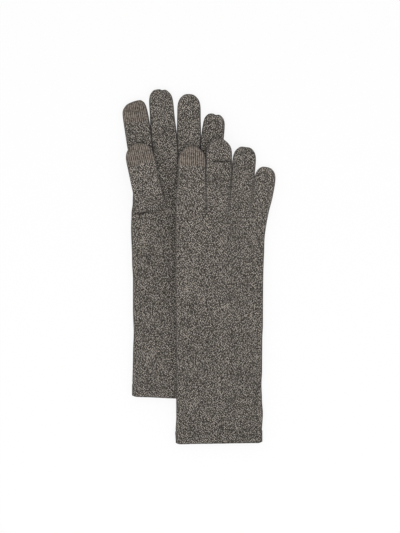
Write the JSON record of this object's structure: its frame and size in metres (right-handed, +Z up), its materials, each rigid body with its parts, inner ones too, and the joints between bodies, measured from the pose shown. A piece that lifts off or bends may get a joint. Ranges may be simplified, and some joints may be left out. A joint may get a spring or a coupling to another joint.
{
  "type": "pair of touchscreen gloves",
  "caption": "Pair of long knitted gloves lying flat, one over the other, with hollow folding fingers, a thumb on a palm slit and conductive tips for touchscreens.",
  "frame": {"origin": "middle of the pair's footprint, on the table", "axes": "+X to the right across the fingers, +Y from the cuffs to the fingertips, +Z up from the table"},
  "size_m": [0.168, 0.3904, 0.0246],
  "materials": {
    "grey_marl_knit": "fine jersey knit in grey marl yarn, matt and slightly fuzzy",
    "grey_marl_hem": "turned knitted hem in the same yarn",
    "conductive_knit": "finely ribbed knit in brownish conductive yarn"
  },
  "bodies": {
    "left_glove": {"left_hem": "grey_marl_hem", "left_cuff": "grey_marl_knit", "left_hand": "grey_marl_knit", "left_index_lower": "grey_marl_knit", "left_middle_lower": "grey_marl_knit", "left_ring_lower": "grey_marl_knit", "left_little_lower": "grey_marl_knit"},
    "left_index_end": {"left_index_upper": "grey_marl_knit", "left_index_touch_tip": "conductive_knit"},
    "left_middle_end": {"left_middle_upper": "grey_marl_knit"},
    "left_ring_end": {"left_ring_upper": "grey_marl_knit"},
    "left_little_end": {"left_little_upper": "grey_marl_knit"},
    "left_thumb": {"left_thumb": "grey_marl_knit", "left_thumb_touch_tip": "conductive_knit"},
    "right_hand": {"right_hand": "grey_marl_knit"},
    "right_cuff": {"right_cuff": "grey_marl_knit", "right_hem": "grey_marl_hem"},
    "right_index_root": {"right_index_lower": "grey_marl_knit"},
    "right_index_end": {"right_index_upper": "grey_marl_knit", "right_index_touch_tip": "conductive_knit"},
    "right_middle_root": {"right_middle_lower": "grey_marl_knit"},
    "right_middle_end": {"right_middle_upper": "grey_marl_knit"},
    "right_ring_root": {"right_ring_lower": "grey_marl_knit"},
    "right_ring_end": {"right_ring_upper": "grey_marl_knit"},
    "right_little_root": {"right_little_lower": "grey_marl_knit"},
    "right_little_end": {"right_little_upper": "grey_marl_knit"},
    "right_thumb": {"right_thumb": "grey_marl_knit", "right_thumb_touch_tip": "conductive_knit"}
  },
  "joints": [
    {"name": "left_index_fold", "type": "hinge", "parent": "left_glove", "child": "left_index_end", "pos_m": [-0.0667, 0.13855, 0.0084], "axis": [0.9917, 0.1288, 0], "range_deg": [0, 90]},
    {"name": "left_middle_fold", "type": "hinge", "parent": "left_glove", "child": "left_middle_end", "pos_m": [-0.03973, 0.14302, 0.0084], "axis": [0.9959, 0.0906, 0], "range_deg": [0, 90]},
    {"name": "left_ring_fold", "type": "hinge", "parent": "left_glove", "child": "left_ring_end", "pos_m": [-0.01265, 0.14242, 0.0084], "axis": [1, 0, 0], "range_deg": [0, 90]},
    {"name": "left_little_fold", "type": "hinge", "parent": "left_glove", "child": "left_little_end", "pos_m": [0.0139, 0.14655, 0.0084], "axis": [0.9954, -0.0958, 0], "range_deg": [0, 90]},
    {"name": "left_thumb_raise", "type": "hinge", "parent": "left_glove", "child": "left_thumb", "pos_m": [-0.05207, 0.05836, 0.0084], "axis": [0.9799, 0.1994, 0], "range_deg": [0, 85]},
    {"name": "right_glove_lift", "type": "slide", "parent": "left_glove", "child": "right_hand", "axis": [0, 0, 1], "range_m": [0, 0.12]},
    {"name": "right_wrist_fold", "type": "hinge", "parent": "right_hand", "child": "right_cuff", "pos_m": [0.02198, -0.03764, 0.01756], "axis": [-1, 0, 0], "range_deg": [0, 60]},
    {"name": "right_index_raise", "type": "hinge", "parent": "right_hand", "child": "right_index_root", "pos_m": [-0.00933, 0.06489, 0.0246], "axis": [0.9994, -0.0349, 0], "range_deg": [0, 60]},
    {"name": "right_index_fold", "type": "hinge", "parent": "right_index_root", "child": "right_index_end", "pos_m": [-0.00885, 0.08789, 0.02456], "axis": [0.9998, -0.0209, 0], "range_deg": [0, 90]},
    {"name": "right_middle_raise", "type": "hinge", "parent": "right_hand", "child": "right_middle_root", "pos_m": [0.02015, 0.06386, 0.0246], "axis": [0.9994, -0.0349, 0], "range_deg": [0, 60]},
    {"name": "right_middle_fold", "type": "hinge", "parent": "right_middle_root", "child": "right_middle_end", "pos_m": [0.02078, 0.08985, 0.0228], "axis": [0.9997, -0.0244, 0], "range_deg": [0, 90]},
    {"name": "right_ring_raise", "type": "hinge", "parent": "right_hand", "child": "right_ring_root", "pos_m": [0.04443, 0.06301, 0.01697], "axis": [0.9994, -0.0349, 0], "range_deg": [0, 60]},
    {"name": "right_ring_fold", "type": "hinge", "parent": "right_ring_root", "child": "right_ring_end", "pos_m": [0.04652, 0.08692, 0.01386], "axis": [0.9962, -0.0872, 0], "range_deg": [0, 90]},
    {"name": "right_little_raise", "type": "hinge", "parent": "right_hand", "child": "right_little_root", "pos_m": [0.06692, 0.06223, 0.0084], "axis": [0.9954, -0.0958, 0], "range_deg": [0, 60]},
    {"name": "right_little_fold", "type": "hinge", "parent": "right_little_root", "child": "right_little_end", "pos_m": [0.07105, 0.08891, 0.0084], "axis": [0.9882, -0.153, 0], "range_deg": [0, 90]},
    {"name": "right_thumb_drop", "type": "hinge", "parent": "right_hand", "child": "right_thumb", "pos_m": [-0.00448, 0.00436, 0.0162], "axis": [-0.9994, 0.0349, 0], "range_deg": [0, 83]}
  ],
  "couplings": [
    {"joint": "right_thumb_drop", "follows": "right_glove_lift", "rad_per_m": 12}
  ]
}
